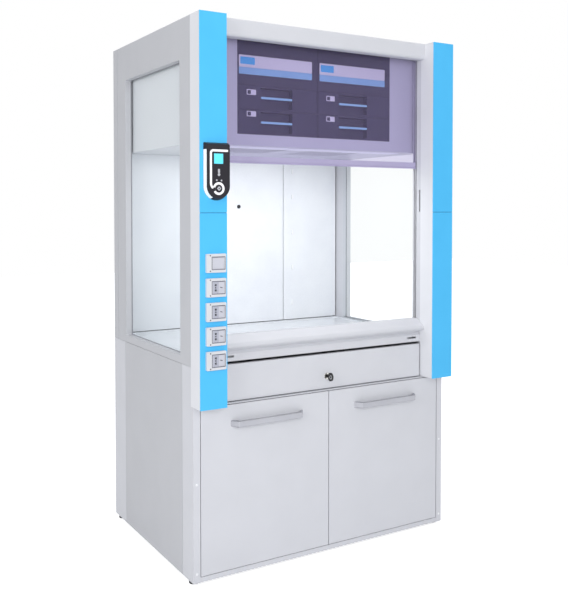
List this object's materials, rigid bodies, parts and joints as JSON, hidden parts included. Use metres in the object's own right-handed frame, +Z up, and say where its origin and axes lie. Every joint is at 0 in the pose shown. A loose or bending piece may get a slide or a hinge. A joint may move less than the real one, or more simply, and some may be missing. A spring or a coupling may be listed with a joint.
{
  "type": "floor-standing fume hood",
  "caption": "Floor-standing filter fume hood with a rising glass sash, side windows, service columns, control pod and a base cabinet with doors.",
  "frame": {"origin": "on the floor, below the centre of the overall box, including the control pod's button at the front", "axes": "+X to the user's right as they face the hood, +Y to the back, +Z up"},
  "size_m": [1.2, 0.926, 2.15],
  "materials": {
    "powder_coat": "satin",
    "blue_paint": "satin",
    "dark_plastic": "matte",
    "white_plastic": "satin",
    "module_plastic": "satin",
    "filter_front": "satin",
    "glass": "clear",
    "tinted_glass": "clear",
    "clear_plastic": "clear",
    "ceramic_top": "satin",
    "steel": "brushed",
    "zinc_steel": "galvanised",
    "aluminium": "satin",
    "rubber": "matte",
    "laminate": "satin",
    "cast_iron": "painted",
    "lens": "frosted",
    "guide_plastic": "matte"
  },
  "bodies": {
    "cabinet": {"base_frame": "powder_coat", "base_panel_left": "powder_coat", "base_panel_right": "powder_coat", "base_back_panel": "powder_coat", "base_shelf": "powder_coat", "levelling_feet": "rubber", "worktop": "ceramic_top", "airfoil_sill": "powder_coat", "side_wall_left": "powder_coat", "side_wall_right": "powder_coat", "side_glass_left": "glass", "side_glass_right": "glass", "upper_back_panel": "powder_coat", "baffle_centre": "laminate", "baffle_sides": "laminate", "flow_probe": "dark_plastic", "column_left": "powder_coat", "column_right": "powder_coat", "fascia_left": "blue_paint", "fascia_right": "blue_paint", "header": "powder_coat", "roof_panel": "powder_coat", "plenum": "powder_coat", "filter_module_left": "module_plastic", "filter_module_right": "module_plastic", "filter_drawers": "filter_front", "lamp_housing": "zinc_steel", "lamp_lens": "lens", "fan_duct": "zinc_steel", "fan_motor": "aluminium", "sash_guides": "guide_plastic", "shaft_bushes": "guide_plastic", "sash_belts": "rubber", "pane_belts": "rubber", "control_pod": "dark_plastic", "wiring_boxes": "white_plastic", "socket_modules": "white_plastic"},
    "sash": {"sash_pane": "tinted_glass", "sash_grip": "clear_plastic", "sash_carriages": "steel"},
    "upper_sash": {"upper_pane": "tinted_glass", "pane_carriages": "steel"},
    "weights": {"counterweights": "cast_iron"},
    "cross_shaft": {"drive_shaft": "steel"},
    "idlers": {"lower_pulleys": "dark_plastic"},
    "left_door": {"door_left": "powder_coat", "handle_left": "aluminium"},
    "right_door": {"door_right": "powder_coat", "handle_right": "aluminium"},
    "flap": {"service_flap": "powder_coat", "flap_lock": "steel"},
    "key": {"lock_key": "dark_plastic"},
    "button": {"pod_button": "dark_plastic"},
    "fan": {"impeller": "dark_plastic"},
    "switch_1": {"rocker_1": "white_plastic"},
    "switch_2": {"rocker_2": "white_plastic"},
    "switch_3": {"rocker_3": "white_plastic"},
    "switch_4": {"rocker_4": "white_plastic"},
    "switch_5": {"rocker_5": "white_plastic"}
  },
  "joints": [
    {"name": "sash_slide", "type": "slide", "parent": "cabinet", "child": "sash", "axis": [0, 0, 1], "range_m": [-0.651, 0]},
    {"name": "upper_pane_slide", "type": "slide", "parent": "cabinet", "child": "upper_sash", "axis": [0, 0, 1], "range_m": [-0.3256, 0]},
    {"name": "counterweight_slide", "type": "slide", "parent": "cabinet", "child": "weights", "axis": [0, 0, 1], "range_m": [0, 0.6511]},
    {"name": "shaft_turn", "type": "hinge", "parent": "cabinet", "child": "cross_shaft", "pos_m": [0, -0.369, 2.05], "axis": [1, 0, 0], "range_deg": [-935, 0]},
    {"name": "idler_turn", "type": "hinge", "parent": "cabinet", "child": "idlers", "pos_m": [0, -0.369, 0.88], "axis": [1, 0, 0], "range_deg": [-935, 0]},
    {"name": "left_door_swing", "type": "hinge", "parent": "cabinet", "child": "left_door", "pos_m": [-0.562, -0.3705, 0.34], "axis": [0, 0, -1], "range_deg": [0, 110]},
    {"name": "right_door_swing", "type": "hinge", "parent": "cabinet", "child": "right_door", "pos_m": [0.562, -0.3705, 0.34], "axis": [0, 0, 1], "range_deg": [0, 110]},
    {"name": "flap_swing", "type": "hinge", "parent": "cabinet", "child": "flap", "pos_m": [0, -0.355, 0.676], "axis": [1, 0, 0], "range_deg": [0, 90]},
    {"name": "lock_turn", "type": "hinge", "parent": "flap", "child": "key", "pos_m": [0, -0.363, 0.718], "axis": [0, 1, 0], "range_deg": [0, 90]},
    {"name": "button_press", "type": "slide", "parent": "cabinet", "child": "button", "axis": [0, 1, 0], "range_m": [0, 0.0015], "stiffness_N_per_m": 300, "springref_m": -0.001},
    {"name": "fan_turn", "type": "hinge", "parent": "cabinet", "child": "fan", "pos_m": [0, 0.245, 1.905], "axis": [0, 0, 1], "continuous": true},
    {"name": "rocker_1_tilt", "type": "hinge", "parent": "cabinet", "child": "switch_1", "pos_m": [-0.53225, -0.441, 1.1985], "axis": [-1, 0, 0], "range_deg": [0, 8]},
    {"name": "rocker_2_tilt", "type": "hinge", "parent": "cabinet", "child": "switch_2", "pos_m": [-0.53225, -0.441, 1.1102], "axis": [-1, 0, 0], "range_deg": [0, 8]},
    {"name": "rocker_3_tilt", "type": "hinge", "parent": "cabinet", "child": "switch_3", "pos_m": [-0.53225, -0.441, 1.0219], "axis": [-1, 0, 0], "range_deg": [0, 8]},
    {"name": "rocker_4_tilt", "type": "hinge", "parent": "cabinet", "child": "switch_4", "pos_m": [-0.53225, -0.441, 0.9336], "axis": [-1, 0, 0], "range_deg": [0, 8]},
    {"name": "rocker_5_tilt", "type": "hinge", "parent": "cabinet", "child": "switch_5", "pos_m": [-0.53225, -0.441, 0.8453], "axis": [-1, 0, 0], "range_deg": [0, 8]}
  ],
  "couplings": [
    {"joint": "upper_pane_slide", "follows": "sash_slide", "ratio": 0.5},
    {"joint": "counterweight_slide", "follows": "sash_slide", "ratio": -1},
    {"joint": "shaft_turn", "follows": "sash_slide", "rad_per_m": 25},
    {"joint": "idler_turn", "follows": "sash_slide", "rad_per_m": 25}
  ]
}
